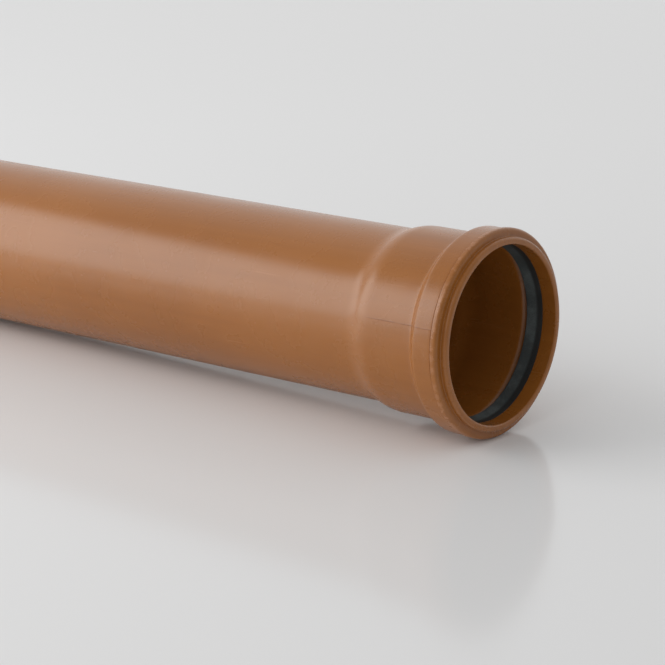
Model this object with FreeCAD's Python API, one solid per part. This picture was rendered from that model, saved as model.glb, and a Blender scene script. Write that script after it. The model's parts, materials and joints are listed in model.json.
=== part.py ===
# Orange-brown drain pipe, 110 mm, with a formed push-fit socket and its rubber lip seal.
# Millimetres. The pipe is one extruded piece: a plain spigot end, a barrel, a neck that widens
# into the socket, and a bead around the socket's mouth that holds the seal.
# Each piece is an outline turned about the pipe's axis, with x = 0 at the spigot's end. The
# finished pipe is then laid on the floor, where it rests on its bead and its spigot.
import FreeCAD, Part
import math
import os

# barrel and spigot
barrel_outer_dia = 110.0
wall = 3.2
laying_length = 500.0       # what the pipe adds to a run: its whole length less the insertion
chamfer_length = 6.0
chamfer_angle = 15.0        # degrees, on the outside of the spigot's end
cut_edge_round = 0.2

# socket, measured back from the mouth
insertion_depth = 66.0      # how far a spigot goes in
socket_depth = 61.5         # straight part of the socket, from the mouth to the neck
neck_length = 19.0
bore_clearance = 0.6        # radial, between a spigot and the socket's bore

# mouth and bead
lip_wall = 4.4
lip_length = 3.8            # plain rim ahead of the bead
lip_round = 1.8
mouth_round = 1.2
bead_rise = 5.5             # how far the bead stands out from the socket
shoulder_length = 6.0       # slope behind the bead
shoulder_top_round = 2.0
shoulder_foot_round = 3.0
rim_foot_round = 0.5

# raised band at the front of the bead, with a fine groove behind it
band_rise = 0.9
band_width = 4.2
band_front_round = 2.0
band_back_round = 0.3
groove_width = 0.7
groove_depth = 0.4

# chamber for the seal, inside the bead
chamber_front = 10.6        # back from the mouth
chamber_length = 9.4
chamber_round = 1.0
chamber_edge_round = 0.4

# seal ring
seal_end_clearance = 0.6    # between the seal and the foot of the chamber's slope
seal_corner_round = 1.2
lip_bite = 1.1              # how far the free lip reaches inside a spigot's outside
lip_reach = 2.4             # how far it trails past the heel, towards the barrel
lip_thickness = 2.0
lip_tip_round = 0.8
heel_thickness = 2.3
nose_drop = 0.4             # the seal's nose starts this far outside the socket's bore
nose_round = 0.9
notch_depth = 4.6           # V between the free lip and the heel, open to the inside
notch_root_width = 0.9
notch_root_round = 0.4

# radii and places that follow from them
barrel_radius = barrel_outer_dia / 2
barrel_bore = barrel_radius - wall
socket_bore = barrel_radius + bore_clearance
socket_radius = socket_bore + wall
bead_radius = socket_radius + bead_rise
band_radius = bead_radius + band_rise
chamber_radius = bead_radius - wall
full_length = laying_length + insertion_depth
chamber_back = chamber_front + chamber_length
shoulder_angle = math.atan2(bead_rise, shoulder_length)
wall_shift = wall * math.tan(shoulder_angle / 2)
bead_back = chamber_back + wall_shift


def from_mouth(depth):
    return full_length - depth


def on_axis_plane(x, r):
    return FreeCAD.Vector(x, 0, r)


def rounded_outline(corners):
    """Closed wire through corners of (x, r, rounding radius), each rounded by a tangent arc."""
    count = len(corners)
    places = [on_axis_plane(x, r) for x, r, radius in corners]
    starts, middles, ends = [], [], []
    for i, (x, r, radius) in enumerate(corners):
        here = places[i]
        back = places[i - 1] - here
        ahead = places[(i + 1) % count] - here
        half_corner = back.getAngle(ahead) / 2
        room = min(back.Length, ahead.Length) / 2
        reach = min(radius / math.tan(half_corner), room)
        back.normalize()
        ahead.normalize()
        starts.append(here + back * reach)
        ends.append(here + ahead * reach)
        if reach > 0:
            inward = (back + ahead).normalize()
            arc_radius = reach * math.tan(half_corner)
            to_centre = reach / math.cos(half_corner)
            middles.append(here + inward * (to_centre - arc_radius))
        else:
            middles.append(None)
    edges = []
    for i in range(count):
        if middles[i] is not None:
            edges.append(Part.Arc(starts[i], middles[i], ends[i]).toShape())
        following = starts[(i + 1) % count]
        if (following - ends[i]).Length > 1e-6:
            edges.append(Part.LineSegment(ends[i], following).toShape())
    return Part.Wire(edges)


def turned(corners):
    face = Part.Face(rounded_outline(corners))
    return face.revolve(FreeCAD.Vector(0, 0, 0), FreeCAD.Vector(1, 0, 0), 360)


def neck_corners(socket_r, barrel_r):
    """Two corners whose arcs meet halfway, as a smooth step from the socket to the barrel."""
    drop = socket_r - barrel_r
    arc_radius = (neck_length ** 2 + drop ** 2) / (4 * drop)
    reach = arc_radius * drop / neck_length
    return [
        (from_mouth(socket_depth + reach), socket_r, arc_radius),
        (from_mouth(socket_depth + neck_length - reach), barrel_r, arc_radius),
    ]


def make_pipe():
    chamfer_drop = chamfer_length * math.tan(math.radians(chamfer_angle))
    lip_radius = socket_bore + lip_wall
    band_back = lip_length + band_width
    outside = [
        (from_mouth(0), lip_radius, lip_round),
        (from_mouth(lip_length), lip_radius, rim_foot_round),
        (from_mouth(lip_length), band_radius, band_front_round),
        (from_mouth(band_back), band_radius, band_back_round),
        (from_mouth(band_back), bead_radius - groove_depth, 0),
        (from_mouth(band_back + groove_width), bead_radius - groove_depth, 0),
        (from_mouth(band_back + groove_width), bead_radius, band_back_round),
        (from_mouth(bead_back), bead_radius, shoulder_top_round),
        (from_mouth(bead_back + shoulder_length), socket_radius, shoulder_foot_round),
        *neck_corners(socket_radius, barrel_radius),
        (chamfer_length, barrel_radius, 0),
        (0, barrel_radius - chamfer_drop, cut_edge_round),
    ]
    inside = [
        (from_mouth(0), socket_bore, mouth_round),
        (from_mouth(chamber_front), socket_bore, chamber_edge_round),
        (from_mouth(chamber_front), chamber_radius, chamber_round),
        (from_mouth(chamber_back), chamber_radius, shoulder_top_round),
        (from_mouth(chamber_back + shoulder_length), socket_bore, shoulder_foot_round),
        *neck_corners(socket_bore, barrel_bore),
        (0, barrel_bore, cut_edge_round),
    ]
    return turned(outside + inside[::-1])


def make_seal_ring():
    seal_back = chamber_back - seal_end_clearance
    lip_inner = barrel_radius - lip_bite
    heel_inner = chamber_radius - heel_thickness
    notch_root = (lip_inner + lip_thickness + heel_inner) / 2
    notch_floor = from_mouth(seal_back - notch_depth)
    lip_back = from_mouth(seal_back + lip_reach)
    return turned([
        (from_mouth(chamber_front), chamber_radius, seal_corner_round),
        (from_mouth(chamber_front), socket_bore + nose_drop, nose_round),
        (lip_back, lip_inner, lip_tip_round),
        (lip_back, lip_inner + lip_thickness, lip_tip_round),
        (notch_floor, notch_root - notch_root_width / 2, notch_root_round),
        (notch_floor, notch_root + notch_root_width / 2, notch_root_round),
        (from_mouth(seal_back), heel_inner, lip_tip_round),
        (from_mouth(seal_back), chamber_radius, seal_corner_round),
    ])


def rest_angle():
    """Tilt of a pipe that lies on its spigot and on the highest reaching edge of its bead."""
    edges = [
        (from_mouth(lip_length + band_width), band_radius),
        (from_mouth(bead_back), bead_radius),
    ]
    return max(math.atan2(r - barrel_radius, x - chamfer_length) for x, r in edges)


def lay_down(pieces):
    """Raise the socket's end by the rest angle, then stand the box's bottom centre on zero."""
    for shape in pieces.values():
        shape.rotate(FreeCAD.Vector(0, 0, 0), FreeCAD.Vector(0, 1, 0), -math.degrees(rest_angle()))
    box = Part.makeCompound(list(pieces.values())).optimalBoundingBox(False, False)
    for shape in pieces.values():
        shape.translate(FreeCAD.Vector(-box.Center.x, -box.Center.y, -box.ZMin))
    return pieces


pieces = lay_down({"pipe": make_pipe(), "seal_ring": make_seal_ring()})
os.makedirs("parts", exist_ok=True)
for name, shape in pieces.items():
    shape.exportStep("parts/" + name + ".step")
    print(name, "valid", shape.isValid(), "volume", round(shape.Volume, 1))
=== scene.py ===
import json
import math

import bmesh
import bpy
from mathutils import Matrix, Vector, noise


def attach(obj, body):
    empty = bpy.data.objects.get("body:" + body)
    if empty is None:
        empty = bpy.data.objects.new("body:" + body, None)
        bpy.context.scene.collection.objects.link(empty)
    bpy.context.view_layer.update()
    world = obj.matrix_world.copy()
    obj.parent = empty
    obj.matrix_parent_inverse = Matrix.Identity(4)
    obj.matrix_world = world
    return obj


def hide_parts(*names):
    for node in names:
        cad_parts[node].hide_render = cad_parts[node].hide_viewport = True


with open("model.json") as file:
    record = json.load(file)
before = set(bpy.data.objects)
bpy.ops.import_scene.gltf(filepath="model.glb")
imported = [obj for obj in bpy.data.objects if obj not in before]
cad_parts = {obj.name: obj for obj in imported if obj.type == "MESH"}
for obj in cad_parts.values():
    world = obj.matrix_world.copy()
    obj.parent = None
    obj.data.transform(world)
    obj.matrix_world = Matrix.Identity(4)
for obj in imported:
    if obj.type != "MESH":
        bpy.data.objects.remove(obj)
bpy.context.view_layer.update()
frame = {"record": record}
mm = 0.001


# a socket that can stand in sums: each sum adds a Math node
class Flow:
    def __init__(self, surface, socket):
        self.surface = surface
        self.socket = socket

    def math(self, operation, first, second=0.0):
        return self.surface.node("ShaderNodeMath", {"operation": operation}, {0: first, 1: second})

    def __add__(self, other):
        return self.math("ADD", self, other)

    def __radd__(self, other):
        return self.math("ADD", other, self)

    def __sub__(self, other):
        return self.math("SUBTRACT", self, other)

    def __rsub__(self, other):
        return self.math("SUBTRACT", other, self)

    def __mul__(self, other):
        return self.math("MULTIPLY", self, other)

    def __truediv__(self, other):
        return self.math("DIVIDE", self, other)

    def __pow__(self, other):
        return self.math("POWER", self, other)

    def __abs__(self):
        return self.math("ABSOLUTE", self)


# the nodes of one material, or of the room
class Surface:
    def __init__(self, tree):
        self.tree = tree
        self.shader = tree.nodes.get("Principled BSDF")

    def node(self, kind, settings, sockets, output=0):
        made = self.tree.nodes.new(kind)
        for key, value in settings.items():
            setattr(made, key, value)
        for key, value in sockets.items():
            if isinstance(value, Flow):
                self.tree.links.new(value.socket, made.inputs[key])
            else:
                made.inputs[key].default_value = value
        return Flow(self, made.outputs[output])

    # the place on the pipe as a vector, its distance from the spigot's end and from the axis, in metres
    def pipeCoordinates(self):
        coordinates = self.node("ShaderNodeTexCoord", {}, {}, "Object")
        place = self.node("ShaderNodeMapping", {"vector_type": "TEXTURE"}, {
            "Vector": coordinates,
            "Location": tuple(axisFrame.translation),
            "Rotation": tuple(axisFrame.to_euler()),
        })
        along, across, up = (self.node("ShaderNodeSeparateXYZ", {}, {0: place}, axis) for axis in "XYZ")
        return place, along, across, up, (across * across + up * up) ** 0.5

    # a grain is the settings of one noise: its scale, or its scales along and across the pipe
    def noise(self, vector, grain):
        if "scales" in grain:
            vector = self.node("ShaderNodeVectorMath", {"operation": "MULTIPLY"},
                               {0: vector, 1: grain["scales"]})
        return self.node("ShaderNodeTexNoise", {}, {
            "Vector": vector,
            "Scale": grain.get("scale", 1.0),
            "Detail": grain["detail"],
            "Roughness": grain.get("roughness", 0.55),
            "Distortion": grain.get("distortion", 0.0),
        }, "Fac")

    # a smooth rise from 0 at the low value to 1 at the high one
    def step(self, value, low, high):
        return self.node("ShaderNodeMapRange", {"interpolation_type": "SMOOTHSTEP"}, {
            "Value": value, "From Min": low, "From Max": high, "To Min": 0.0, "To Max": 1.0,
        })

    def layer(self, vector, grain):
        return self.noise(vector, grain) * grain["amount"]

    # 1 where the noise is past its grain's rise
    def patches(self, vector, grain):
        return self.step(self.noise(vector, grain), *grain["rise"])

    def mixed(self, factor, first, second):
        return self.node("ShaderNodeMix", {"data_type": "RGBA"}, {0: factor, 6: first, 7: second}, 2)

    def feed(self, name, value):
        if isinstance(value, Flow):
            self.tree.links.new(value.socket, self.shader.inputs[name])
        else:
            self.shader.inputs[name].default_value = value

    def relief(self, heightInMillimetres):
        self.feed("Normal", self.node("ShaderNodeBump", {}, {
            "Height": heightInMillimetres, "Distance": mm, "Strength": 1.0,
        }))


def newMaterial(name):
    material = bpy.data.materials.new(name)
    material.use_nodes = True
    return material, Surface(material.node_tree)


mounts = {mount["name"]: mount for mount in frame["record"]["mounts"]}

# millimetres; depths are measured back from the mouth
pipeSizes = {
    "barrelRadius": 55.0,
    "wall": 3.2,
    "fullLength": 566.0,
    "chamferLength": 6.0,
    "chamferAngle": 15.0,
    "chamferRound": 0.3,
    "cutRound": 0.2,
    "socketBore": mounts["socket_mouth"]["dims"]["r_mm"],
    "socketDepth": 61.5,
    "neckLength": 19.0,
    "lipWall": 4.4,
    "lipLength": 3.8,
    "lipRound": 1.8,
    "mouthRound": 1.2,
    "beadRise": 5.5,
    "shoulderLength": 6.0,
    "shoulderTopRound": 2.0,
    "shoulderFootRound": 3.0,
    "rimFootRound": 0.5,
    "bandRise": 0.9,
    "bandWidth": 4.2,
    "bandFrontRound": 2.0,
    "bandBackRound": 0.3,
    "grooveWidth": 0.7,
    "grooveDepth": 0.4,
    "grooveRound": 0.1,
    "chamberFront": 10.6,
    "chamberLength": 9.4,
    "chamberRound": 1.0,
    "chamberEdgeRound": 0.4,
    "shortSpan": 2.5,       # longest mesh step along the socket
    "longSpan": 14.0,       # and along the barrel
    "waver": 0.05,          # how far the surface wanders from true
}


def readAxis(sizes):
    mouth = mounts["socket_mouth"]
    along = Vector(mouth["axis"]).normalized()
    toFace = (mouth["dims"]["length_mm"] / 2 + sizes["mouthRound"]) * mm
    mouthCentre = Vector(mouth["pos_m"]) + along * toFace
    spigotCentre = mouthCentre - along * sizes["fullLength"] * mm
    turn = Vector((1, 0, 0)).rotation_difference(along).to_matrix().to_4x4()
    return Matrix.Translation(spigotCentre) @ turn, mouthCentre


axisFrame, mouthCentre = readAxis(pipeSizes)


# millimetres and degrees
turning = {
    "stepsAround": 240,
    "arcStep": 10,          # turn of an arc in one segment
    "leastSegments": 4,
    "longEdge": 100.0,      # past this length an edge takes the long span
    "weld": 1e-4,
    "waverAlong": 0.012,    # waves for each millimetre along the axis
    "waverAround": 1.3,
}


# a flat outline with its corners rounded, spun about the pipe's axis
# corners are (distance from the spigot's end, radius, rounding), in millimetres
def turnedPiece(name, corners, shortSpan, longSpan, waver):
    bm = bmesh.new()
    verts = [bm.verts.new((x, 0, r)) for x, r, rounding in corners]
    bm.faces.new(verts)
    spans = {}
    for index, vert in enumerate(verts):
        back = verts[index - 1].co - vert.co
        ahead = verts[(index + 1) % len(verts)].co - vert.co
        halfCorner = back.angle(ahead) / 2
        room = min(back.length, ahead.length) / 2
        rounding = corners[index][2]
        spans[vert] = (min(rounding / math.tan(halfCorner), room), math.pi - 2 * halfCorner)
    for vert, (reach, turn) in spans.items():
        if reach > 0:
            segments = max(turning["leastSegments"], round(turn / math.radians(turning["arcStep"])))
            bmesh.ops.bevel(bm, geom=[vert], offset=reach, offset_type="OFFSET", affect="VERTICES",
                            segments=segments, profile=0.5, material=-1)
    bmesh.ops.remove_doubles(bm, verts=bm.verts, dist=turning["weld"])
    bmesh.ops.delete(bm, geom=bm.faces[:], context="FACES_ONLY")
    for edge in bm.edges[:]:
        length = edge.calc_length()
        span = longSpan if length > turning["longEdge"] else shortSpan
        if length > span:
            bmesh.ops.subdivide_edges(bm, edges=[edge], cuts=math.ceil(length / span) - 1)
    bmesh.ops.spin(bm, geom=bm.verts[:] + bm.edges[:], cent=(0, 0, 0), axis=(1, 0, 0),
                   dvec=(0, 0, 0), angle=2 * math.pi, steps=turning["stepsAround"], use_merge=True)
    bmesh.ops.remove_doubles(bm, verts=bm.verts, dist=turning["weld"])
    bmesh.ops.recalc_face_normals(bm, faces=bm.faces)
    for vert in bm.verts:
        outward = Vector((0, vert.co.y, vert.co.z)).normalized()
        around = outward * turning["waverAround"]
        sample = Vector((vert.co.x * turning["waverAlong"], around.y, around.z))
        vert.co += outward * noise.noise(sample) * waver
    bmesh.ops.scale(bm, vec=(mm, mm, mm), verts=bm.verts)
    bm.transform(axisFrame)
    mesh = bpy.data.meshes.new(name)
    bm.to_mesh(mesh)
    bm.free()
    mesh.shade_smooth()
    piece = bpy.data.objects.new(name, mesh)
    bpy.context.scene.collection.objects.link(piece)
    return piece


def pipeCorners(s):
    def fromMouth(depth):
        return s["fullLength"] - depth

    # two corners whose arcs meet halfway, as a smooth step
    def neck(socketRadius, barrelRadius):
        drop = socketRadius - barrelRadius
        arcRadius = (s["neckLength"] ** 2 + drop ** 2) / (4 * drop)
        reach = arcRadius * drop / s["neckLength"]
        return [
            (fromMouth(s["socketDepth"] + reach), socketRadius, arcRadius),
            (fromMouth(s["socketDepth"] + s["neckLength"] - reach), barrelRadius, arcRadius),
        ]

    barrelBore = s["barrelRadius"] - s["wall"]
    socketRadius = s["socketBore"] + s["wall"]
    beadRadius = socketRadius + s["beadRise"]
    bandRadius = beadRadius + s["bandRise"]
    lipRadius = s["socketBore"] + s["lipWall"]
    chamberRadius = beadRadius - s["wall"]
    bandBack = s["lipLength"] + s["bandWidth"]
    grooveBack = bandBack + s["grooveWidth"]
    grooveFloor = beadRadius - s["grooveDepth"]
    chamberBack = s["chamberFront"] + s["chamberLength"]
    slope = math.atan2(s["beadRise"], s["shoulderLength"])
    beadBack = chamberBack + s["wall"] * math.tan(slope / 2)
    chamferDrop = s["chamferLength"] * math.tan(math.radians(s["chamferAngle"]))
    outside = [
        (fromMouth(0), lipRadius, s["lipRound"]),
        (fromMouth(s["lipLength"]), lipRadius, s["rimFootRound"]),
        (fromMouth(s["lipLength"]), bandRadius, s["bandFrontRound"]),
        (fromMouth(bandBack), bandRadius, s["bandBackRound"]),
        (fromMouth(bandBack), grooveFloor, s["grooveRound"]),
        (fromMouth(grooveBack), grooveFloor, s["grooveRound"]),
        (fromMouth(grooveBack), beadRadius, s["bandBackRound"]),
        (fromMouth(beadBack), beadRadius, s["shoulderTopRound"]),
        (fromMouth(beadBack + s["shoulderLength"]), socketRadius, s["shoulderFootRound"]),
        *neck(socketRadius, s["barrelRadius"]),
        (s["chamferLength"], s["barrelRadius"], s["chamferRound"]),
        (0, s["barrelRadius"] - chamferDrop, s["cutRound"]),
    ]
    inside = [
        (fromMouth(0), s["socketBore"], s["mouthRound"]),
        (fromMouth(s["chamberFront"]), s["socketBore"], s["chamberEdgeRound"]),
        (fromMouth(s["chamberFront"]), chamberRadius, s["chamberRound"]),
        (fromMouth(chamberBack), chamberRadius, s["shoulderTopRound"]),
        (fromMouth(chamberBack + s["shoulderLength"]), s["socketBore"], s["shoulderFootRound"]),
        *neck(s["socketBore"], barrelBore),
        (0, barrelBore, s["cutRound"]),
    ]
    return outside + inside[::-1]


pipe = turnedPiece("drain_pipe", pipeCorners(pipeSizes),
                   pipeSizes["shortSpan"], pipeSizes["longSpan"], pipeSizes["waver"])
print("pipe", len(pipe.data.polygons), "faces")

sealSizes = {
    "front": pipeSizes["chamberFront"],
    "outerRadius": pipeSizes["socketBore"] + pipeSizes["beadRise"],
    "endClearance": 0.6,
    "lipBite": 1.1,         # how far the free lip stands inside a spigot's outside
    "lipThickness": 2.0,
    "lipReach": 2.4,        # how far the lip trails past the heel
    "tipRound": 0.8,
    "heelThickness": 2.3,
    "noseDrop": 0.4,
    "noseRound": 0.9,
    "cornerRound": 1.2,
    "notchDepth": 4.6,
    "notchRootWidth": 0.9,
    "notchRootRound": 0.4,
    "shortSpan": 1.5,
    "waver": 0.06,
}


def sealCorners(s):
    front = pipeSizes["fullLength"] - s["front"]
    back = front - (pipeSizes["chamberLength"] - s["endClearance"])
    heelInner = s["outerRadius"] - s["heelThickness"]
    lipRadius = pipeSizes["barrelRadius"] - s["lipBite"]
    notchRoot = (lipRadius + s["lipThickness"] + heelInner) / 2
    notchFloor = back + s["notchDepth"]
    lipBack = back - s["lipReach"]
    return [
        (front, s["outerRadius"], s["cornerRound"]),
        (front, pipeSizes["socketBore"] + s["noseDrop"], s["noseRound"]),
        (lipBack, lipRadius, s["tipRound"]),
        (lipBack, lipRadius + s["lipThickness"], s["tipRound"]),
        (notchFloor, notchRoot - s["notchRootWidth"] / 2, s["notchRootRound"]),
        (notchFloor, notchRoot + s["notchRootWidth"] / 2, s["notchRootRound"]),
        (back, heelInner, s["tipRound"]),
        (back, s["outerRadius"], s["cornerRound"]),
    ]


seal = turnedPiece("lip_seal", sealCorners(sealSizes),
                   sealSizes["shortSpan"], sealSizes["shortSpan"], sealSizes["waver"])
print("seal", len(seal.data.polygons), "faces")


# lengths and relief in millimetres
plastic = {
    "colour": (0.330, 0.115, 0.019, 1),
    "warm": (0.375, 0.135, 0.024, 1),
    "deep": (0.290, 0.099, 0.017, 1),
    "scuff": (0.52, 0.25, 0.13, 1),
    "roughness": 0.27,
    "ior": 1.53,
    "evenness": 0.45,           # how far the mottled colour is drawn back to the plain one
    "clouds": {"scale": 7.0, "detail": 4.0, "amount": 0.55},
    "streaks": {"scales": (3.0, 170.0, 170.0), "detail": 4.0, "roughness": 0.6, "amount": 0.3},
    "specks": {"scale": 1400.0, "detail": 2.0, "amount": 0.15},
    "toneRise": (0.38, 0.62),
    "patches": {"scale": 16.0, "detail": 3.0, "roughness": 0.6, "rise": (0.50, 0.68)},
    "patchRoughness": 0.02,
    "lengthwise": {"scales": (22.0, 620.0, 620.0), "detail": 2.0, "roughness": 0.5,
                   "distortion": 0.3, "rise": (0.66, 0.74)},
    "crosswise": {"scales": (900.0, 34.0, 34.0), "detail": 2.0, "roughness": 0.5,
                  "distortion": 0.2, "rise": (0.70, 0.78)},
    "crosswiseShare": 0.6,
    "scratchDepth": 0.005,
    "scratchShow": 0.25,
    "wear": {"scale": 240.0, "detail": 4.0, "roughness": 0.7, "rise": (0.46, 0.62)},
    "wearShow": 0.35,
    "rubbedRoughness": 0.15,
    "smears": {"scale": 45.0, "detail": 4.0, "roughness": 0.6, "amount": 0.10},
    "skin": {"scale": 420.0, "detail": 3.0, "roughness": 0.5, "amount": 0.0035},
    "fineSkin": {"scale": 1500.0, "detail": 2.0, "amount": 0.0008},
    "drawn": {"scales": (2.0, 260.0, 260.0), "detail": 3.0, "amount": 0.006},
    "sawn": {"scales": (1.0, 60.0, 1400.0), "detail": 2.0, "amount": 0.05},
    "sawnLength": 0.25,
    "bandEdge": 0.7,            # how far in from the band's top the wear fades out
    "seamAngle": 76.0,          # the jaws' parting line, from the top towards -Y, in degrees
    "seamColour": (0.17, 0.045, 0.018, 1),
    "seamHeight": 0.09,
    "seamWidth": 0.55,
    "seamShow": 0.55,
    "seamFaint": 0.25,          # what is left of the line at its breaks
    "breaks": {"scales": (95.0, 20.0, 20.0), "detail": 2.0, "rise": (0.36, 0.56)},
    "seamStart": (6.0, 9.0),    # where the line fades in behind the mouth
    "seamEnd": (-6.0, 4.0),     # and where it fades out, from the end of the straight socket
    "skinInside": (1.5, 2.0),   # past these distances from the socket's bore the surface is outside
}


# 1 on the line that the jaws leave along both sides of the socket
def seamLine(surface, p, s, place, depth, across, up, radius):
    angle = math.radians(p["seamAngle"])
    offset = up * math.sin(angle) + across * math.cos(angle)
    ridge = 1 - surface.step(abs(offset / (p["seamWidth"] * mm)), 0.0, 1.0)
    start = [edge * mm for edge in p["seamStart"]]
    end = [(s["socketDepth"] + edge) * mm for edge in p["seamEnd"]]
    skin = [(s["socketBore"] + edge) * mm for edge in p["skinInside"]]
    reach = surface.step(depth, *start) * (1 - surface.step(depth, *end))
    strength = p["seamFaint"] + surface.patches(place, p["breaks"]) * (1 - p["seamFaint"])
    return ridge * reach * strength * surface.step(radius, *skin)


def makePlastic(p, s):
    material, surface = newMaterial("orange_brown_plastic")
    place, along, across, up, radius = surface.pipeCoordinates()
    depth = s["fullLength"] * mm - along

    # broad clouds, lengthwise streaks from the die, fine specks
    tone = surface.layer(place, p["clouds"]) + surface.layer(place, p["streaks"])
    tone = tone + surface.layer(place, p["specks"])
    mottled = surface.mixed(surface.step(tone, *p["toneRise"]), p["deep"], p["warm"])
    colour = surface.mixed(p["evenness"], mottled, p["colour"])

    # rubbed patches, short scratches inside them, and wear on the band's edge
    patches = surface.patches(place, p["patches"])
    crosswise = surface.patches(place, p["crosswise"]) * p["crosswiseShare"]
    scratches = (surface.patches(place, p["lengthwise"]) + crosswise) * patches
    bandRadius = (s["socketBore"] + s["wall"] + s["beadRise"] + s["bandRise"]) * mm
    onBand = surface.step(radius, bandRadius - p["bandEdge"] * mm, bandRadius)
    worn = onBand * surface.patches(place, p["wear"])
    rubbed = surface.node("ShaderNodeMath", {"operation": "MAXIMUM"},
                          {0: scratches * p["scratchShow"], 1: worn * p["wearShow"]})
    seam = seamLine(surface, p, s, place, depth, across, up, radius)
    colour = surface.mixed(rubbed, colour, p["scuff"])
    colour = surface.mixed(seam * p["seamShow"], colour, p["seamColour"])

    smears = (surface.noise(place, p["smears"]) - 0.5) * p["smears"]["amount"]
    roughness = p["roughness"] + smears + patches * p["patchRoughness"] + rubbed * p["rubbedRoughness"]

    height = surface.layer(place, p["skin"]) + surface.layer(place, p["fineSkin"])
    height = height + surface.layer(place, p["drawn"])
    height = height - scratches * p["scratchDepth"] + seam * p["seamHeight"]
    onCut = 1 - surface.step(along, 0.0, p["sawnLength"] * mm)
    height = height + onCut * surface.layer(place, p["sawn"])

    surface.feed("Base Color", colour)
    surface.feed("Roughness", roughness)
    surface.feed("IOR", p["ior"])
    surface.relief(height)
    return material


pipe.data.materials.append(makePlastic(plastic, pipeSizes))
print("plastic done")


# lengths and relief in millimetres
rubber = {
    "colour": (0.054, 0.068, 0.070, 1),
    "bloom": (0.128, 0.156, 0.158, 1),
    "creaseColour": (0.010, 0.011, 0.011, 1),   # painted shadow where the nose meets the pipe's bore
    "crease": (-0.55, -0.15),                   # the painted shadow fades in over these distances from that bore
    "creaseShow": 0.85,
    "roughness": 0.46,
    "haze": {"scale": 60.0, "detail": 5.0, "roughness": 0.65, "amount": 0.03},
    "grains": {"scale": 1800.0, "detail": 2.0, "amount": 0.010},
    "rings": {"scales": (2600.0, 8.0, 8.0), "detail": 2.0, "amount": 0.012},
    "bloomShares": (0.7, 0.3),                  # of the haze and the grains
    "bloomRise": (0.40, 0.68),
    "roughnessShares": (0.14, 0.05),
    "flashDepth": 3.1,                          # the mould's parting line, behind the seal's front
    "flashWidth": 0.22,
    "flashHeight": 0.05,
}


def makeRubber(r, s):
    material, surface = newMaterial("grey_rubber")
    place, along, _, _, radius = surface.pipeCoordinates()
    # painted shadow: the seal's face darkens to near black towards the pipe's bore, standing in for the shade
    # in the gap at its nose
    crease = surface.step(radius, *((pipeSizes["socketBore"] + edge) * mm for edge in r["crease"]))
    haze = surface.noise(place, r["haze"])
    grains = surface.noise(place, r["grains"])

    def shared(shares):
        return haze * shares[0] + grains * shares[1]

    colour = surface.mixed(surface.step(shared(r["bloomShares"]), *r["bloomRise"]), r["colour"], r["bloom"])
    # the painted shadow at the nose is mixed into the rubber's colour here
    surface.feed("Base Color", surface.mixed(crease * r["creaseShow"], colour, r["creaseColour"]))
    surface.feed("Roughness", r["roughness"] + shared(r["roughnessShares"]))

    flashPlace = (pipeSizes["fullLength"] - s["front"] - r["flashDepth"]) * mm
    flash = 1 - surface.step(abs(along - flashPlace) / (r["flashWidth"] * mm), 0.0, 1.0)
    height = surface.layer(place, r["grains"]) + surface.layer(place, r["rings"])
    surface.relief(height + surface.layer(place, r["haze"]) + flash * r["flashHeight"])
    return material


seal.data.materials.append(makeRubber(rubber, sealSizes))
print("rubber done")

for piece, node, slot in ((pipe, "pipe", "pipe"), (seal, "seal_ring", "seal")):
    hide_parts(node)
    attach(piece, "root")


studio = {
    "floorSize": 14.0,
    "floorCells": 8,
    "floorColour": (0.87, 0.87, 0.87, 1),
    "floorRoughness": 0.14,
    "floorIor": 1.27,
    "brightSide": (-0.45, 0.87, 0.20),      # direction of the room's bright wall
    "bright": (0.98, 0.98, 0.98, 1),
    "dim": (0.33, 0.33, 0.33, 1),
    "rise": (-0.2, 0.9),                    # from dim to bright, as the cosine to the bright side
    "ambient": (0.53, 0.53, 0.53, 1),
    "skySeen": (0.80, 0.80, 0.81, 1),
}


def makeFloor(s):
    bm = bmesh.new()
    bmesh.ops.create_grid(bm, x_segments=s["floorCells"], y_segments=s["floorCells"], size=s["floorSize"] / 2)
    mesh = bpy.data.meshes.new("floor")
    bm.to_mesh(mesh)
    bm.free()
    floor = bpy.data.objects.new("floor", mesh)
    bpy.context.scene.collection.objects.link(floor)
    material, surface = newMaterial("pale_floor")
    surface.feed("Base Color", s["floorColour"])
    surface.feed("Roughness", s["floorRoughness"])
    surface.feed("IOR", s["floorIor"])
    mesh.materials.append(material)


# mirrors see a directional room, dull surfaces an even one, and the camera a plain backdrop
def makeSky(s):
    world = bpy.data.worlds.new("studio")
    bpy.context.scene.world = world
    world.use_nodes = True
    room = Surface(world.node_tree)
    direction = room.node("ShaderNodeTexCoord", {}, {}, "Generated")
    towards = room.node("ShaderNodeVectorMath", {"operation": "DOT_PRODUCT"},
                        {0: direction, 1: s["brightSide"]}, "Value")
    mirrored = room.mixed(room.step(towards, *s["rise"]), s["dim"], s["bright"])
    seen = room.node("ShaderNodeLightPath", {}, {}, "Is Camera Ray")
    glossy = room.node("ShaderNodeLightPath", {}, {}, "Is Glossy Ray")
    colour = room.mixed(glossy, s["ambient"], mirrored)
    colour = room.mixed(seen, colour, s["skySeen"])
    room.tree.links.new(colour.socket, room.tree.nodes["Background"].inputs["Color"])


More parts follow.
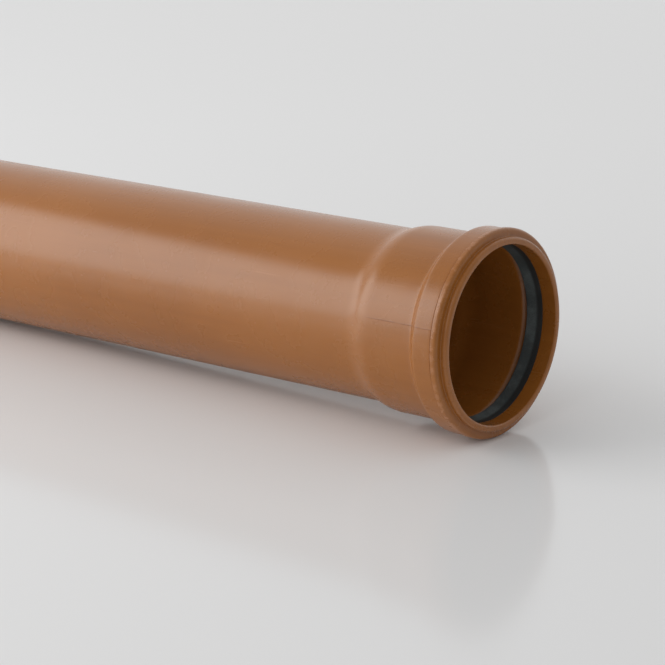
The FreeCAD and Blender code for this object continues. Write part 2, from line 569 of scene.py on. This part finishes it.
# softboxes: the point they face, the direction they stand in from it (azimuth from -Y towards +X, and
# elevation, in degrees), how far off, their size in metres and their radiance
softboxes = {
    "side_softbox": {"aim": (-0.12, 0, 0.06), "azimuth": -48, "elevation": 22, "distance": 1.9,
                     "size": (1.7, 1.5), "radiance": 2.9},
    "front_fill": {"aim": (-0.40, 0, 0.06), "azimuth": 0, "elevation": 32, "distance": 2.6,
                   "size": (2.4, 2.4), "radiance": 0.50},
}


def makeSoftbox(name, s):
    azimuth = math.radians(s["azimuth"])
    elevation = math.radians(s["elevation"])
    level = math.cos(elevation)
    away = Vector((math.sin(azimuth) * level, -math.cos(azimuth) * level, math.sin(elevation)))
    data = bpy.data.lights.new(name, "AREA")
    data.shape = "RECTANGLE"
    data.size, data.size_y = s["size"]
    data.energy = s["radiance"] * math.pi * s["size"][0] * s["size"][1]
    light = bpy.data.objects.new(name, data)
    light.location = Vector(s["aim"]) + away * s["distance"]
    light.rotation_euler = (-away).to_track_quat("-Z", "Y").to_euler()
    bpy.context.scene.collection.objects.link(light)


# where the mouth's centre stands from the camera: to the right, down and ahead, in metres
cameraSizes = {
    "azimuth": 39.045,
    "elevation": 15.976,
    "lens": 142.57,
    "sensor": 36.0,
    "mouthRight": 0.1043,
    "mouthDown": 0.0017,
    "mouthAhead": 1.5963,
}


def makeCamera(c):
    data = bpy.data.cameras.new("camera")
    data.lens = c["lens"]
    data.sensor_width = c["sensor"]
    camera = bpy.data.objects.new("camera", data)
    turn = Matrix.Rotation(math.radians(c["azimuth"]), 4, "Z")
    turn = turn @ Matrix.Rotation(math.radians(90 - c["elevation"]), 4, "X")
    offset = Vector((c["mouthRight"], -c["mouthDown"], -c["mouthAhead"]))
    camera.matrix_world = Matrix.Translation(mouthCentre - turn.to_3x3() @ offset) @ turn
    bpy.context.scene.collection.objects.link(camera)
    bpy.context.scene.camera = camera


makeFloor(studio)
makeSky(studio)
for name, sizes in softboxes.items():
    makeSoftbox(name, sizes)
makeCamera(cameraSizes)
bpy.context.scene.view_settings.view_transform = "Standard"
print("studio done")
